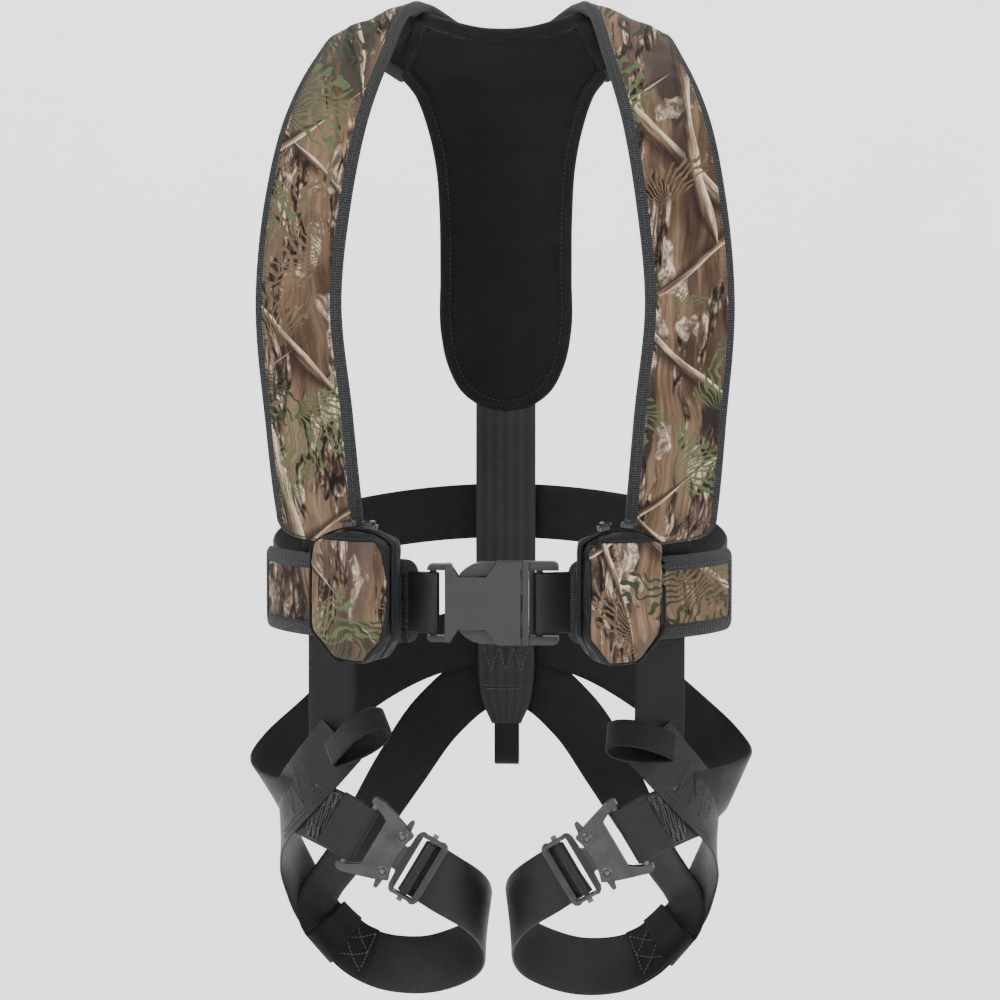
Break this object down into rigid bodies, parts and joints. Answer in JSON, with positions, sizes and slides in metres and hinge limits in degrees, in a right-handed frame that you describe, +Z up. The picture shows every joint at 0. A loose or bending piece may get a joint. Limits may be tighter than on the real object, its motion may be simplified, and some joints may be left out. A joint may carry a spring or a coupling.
{
  "type": "treestand safety harness vest",
  "caption": "Wearable fall-arrest harness with padded camouflage shoulder straps, back yoke, waist belt with pouches and buckled thigh loops.",
  "frame": {"origin": "on the wearer's centreline, inside the waist at the height of the belt buckle's centre", "axes": "+Z up, the wearer faces -Y, the wearer's left is +X"},
  "size_m": [0.3952, 0.2999, 0.7914],
  "materials": {
    "camo_cloth": null,
    "lining_cloth": "matte smooth knit",
    "binding_tape": "matte ribbed tape",
    "webbing": "satin woven webbing",
    "pouch_cloth": "matte coated cloth",
    "zip_tape": "matte tape with coil",
    "zip_metal": "black satin",
    "buckle_plastic": "satin moulded",
    "buckle_metal": "matte hard-coat with bright worn edges",
    "rivet_steel": "darkened steel"
  },
  "bodies": {
    "harness": {"back_webbing": "webbing", "tail_loop": "webbing", "back_belt": "webbing", "hip_band": "webbing", "seat_strap": "webbing", "shoulder_shell_left": "camo_cloth", "shoulder_lining_left": "lining_cloth", "shoulder_binding_left": "binding_tape", "load_webbing_left": "webbing", "thigh_strap_left": "webbing", "lineman_loop_left": "webbing", "buckle_webbing_left": "webbing", "strap_keeper_left": "webbing", "leg_socket_left": "buckle_metal", "shoulder_shell_right": "camo_cloth", "shoulder_lining_right": "lining_cloth", "shoulder_binding_right": "binding_tape", "load_webbing_right": "webbing", "thigh_strap_right": "webbing", "lineman_loop_right": "webbing", "buckle_webbing_right": "webbing", "strap_keeper_right": "webbing", "leg_socket_right": "buckle_metal", "yoke_shell": "camo_cloth", "yoke_lining": "lining_cloth", "yoke_binding": "binding_tape", "leg_rivets": "rivet_steel", "waist_panel_right": "camo_cloth", "waist_binding_right": "binding_tape", "belt_webbing_right": "webbing", "belt_socket": "buckle_plastic"},
    "belt_left_half": {"belt_plug": "buckle_plastic", "belt_webbing_left": "webbing", "waist_panel_left": "camo_cloth", "waist_binding_left": "binding_tape"},
    "arm_upper": {"plug_arm_upper": "buckle_plastic"},
    "arm_lower": {"plug_arm_lower": "buckle_plastic"},
    "pouch_left": {"pouch_back_left": "pouch_cloth", "pouch_zip_left": "zip_tape", "pouch_front_left": "pouch_cloth", "pouch_face_left": "camo_cloth"},
    "zip_outer_left": {"zip_slider_outer_left": "zip_metal"},
    "zip_inner_left": {"zip_slider_inner_left": "zip_metal"},
    "tongue_left": {"leg_tongue_left": "buckle_metal"},
    "web_bar_left": {"slide_bar_left": "rivet_steel", "tongue_webbing_left": "webbing"},
    "lever_upper_left": {"leg_lever_upper_left": "buckle_metal"},
    "lever_lower_left": {"leg_lever_lower_left": "buckle_metal"},
    "pouch_right": {"pouch_back_right": "pouch_cloth", "pouch_zip_right": "zip_tape", "pouch_front_right": "pouch_cloth", "pouch_face_right": "camo_cloth"},
    "zip_outer_right": {"zip_slider_outer_right": "zip_metal"},
    "zip_inner_right": {"zip_slider_inner_right": "zip_metal"},
    "tongue_right": {"leg_tongue_right": "buckle_metal"},
    "web_bar_right": {"slide_bar_right": "rivet_steel", "tongue_webbing_right": "webbing"},
    "lever_upper_right": {"leg_lever_upper_right": "buckle_metal"},
    "lever_lower_right": {"leg_lever_lower_right": "buckle_metal"}
  },
  "joints": [
    {"name": "belt_release", "type": "slide", "parent": "harness", "child": "belt_left_half", "axis": [1, 0, 0], "range_m": [0, 0.05]},
    {"name": "arm_press_upper", "type": "hinge", "parent": "belt_left_half", "child": "arm_upper", "pos_m": [0.0246, -0.121, 0.022], "axis": [0, -1, 0], "range_deg": [0, 7], "stiffness_Nm_per_rad": 6.5},
    {"name": "arm_press_lower", "type": "hinge", "parent": "belt_left_half", "child": "arm_lower", "pos_m": [0.0246, -0.121, -0.022], "axis": [0, 1, 0], "range_deg": [0, 7], "stiffness_Nm_per_rad": 6.5},
    {"name": "pouch_slide_left", "type": "slide", "parent": "belt_left_half", "child": "pouch_left", "axis": [0.9424, 0.3344, 0], "range_m": [-0.008, 0.008]},
    {"name": "zip_outer_left", "type": "hinge", "parent": "pouch_left", "child": "zip_outer_left", "pos_m": [0.09403, -0.13231, 0.00395], "axis": [-0.3344, 0.9424, 0], "range_deg": [0, 18]},
    {"name": "zip_inner_left", "type": "hinge", "parent": "pouch_left", "child": "zip_inner_left", "pos_m": [0.09403, -0.13231, 0.00395], "axis": [0.3344, -0.9424, 0], "range_deg": [0, 15]},
    {"name": "leg_release_left", "type": "slide", "parent": "harness", "child": "tongue_left", "axis": [-0.8616, 0, -0.5075], "range_m": [0, 0.024]},
    {"name": "web_bar_left", "type": "slide", "parent": "tongue_left", "child": "web_bar_left", "axis": [-0.8616, 0, -0.5075], "range_m": [-0.0024, 0.0024]},
    {"name": "lever_upper_left", "type": "hinge", "parent": "harness", "child": "lever_upper_left", "pos_m": [0.0702, -0.093, -0.18395], "axis": [0, 1, 0], "range_deg": [0, 14], "stiffness_Nm_per_rad": 0.2},
    {"name": "lever_lower_left", "type": "hinge", "parent": "harness", "child": "lever_lower_left", "pos_m": [0.08583, -0.093, -0.21049], "axis": [0, -1, 0], "range_deg": [0, 14], "stiffness_Nm_per_rad": 0.2},
    {"name": "pouch_slide_right", "type": "slide", "parent": "harness", "child": "pouch_right", "axis": [-0.9321, 0.3621, 0], "range_m": [-0.008, 0.008]},
    {"name": "zip_outer_right", "type": "hinge", "parent": "pouch_right", "child": "zip_outer_right", "pos_m": [-0.10086, -0.12977, 0.00395], "axis": [-0.3621, -0.9321, 0], "range_deg": [0, 18]},
    {"name": "zip_inner_right", "type": "hinge", "parent": "pouch_right", "child": "zip_inner_right", "pos_m": [-0.10086, -0.12977, 0.00395], "axis": [0.3621, 0.9321, 0], "range_deg": [0, 15]},
    {"name": "leg_release_right", "type": "slide", "parent": "harness", "child": "tongue_right", "axis": [0.8616, 0, -0.5075], "range_m": [0, 0.024]},
    {"name": "web_bar_right", "type": "slide", "parent": "tongue_right", "child": "web_bar_right", "axis": [0.8616, 0, -0.5075], "range_m": [-0.0024, 0.0024]},
    {"name": "lever_upper_right", "type": "hinge", "parent": "harness", "child": "lever_upper_right", "pos_m": [-0.0702, -0.093, -0.18395], "axis": [0, -1, 0], "range_deg": [0, 14], "stiffness_Nm_per_rad": 0.2},
    {"name": "lever_lower_right", "type": "hinge", "parent": "harness", "child": "lever_lower_right", "pos_m": [-0.08583, -0.093, -0.21049], "axis": [0, 1, 0], "range_deg": [0, 14], "stiffness_Nm_per_rad": 0.2}
  ]
}
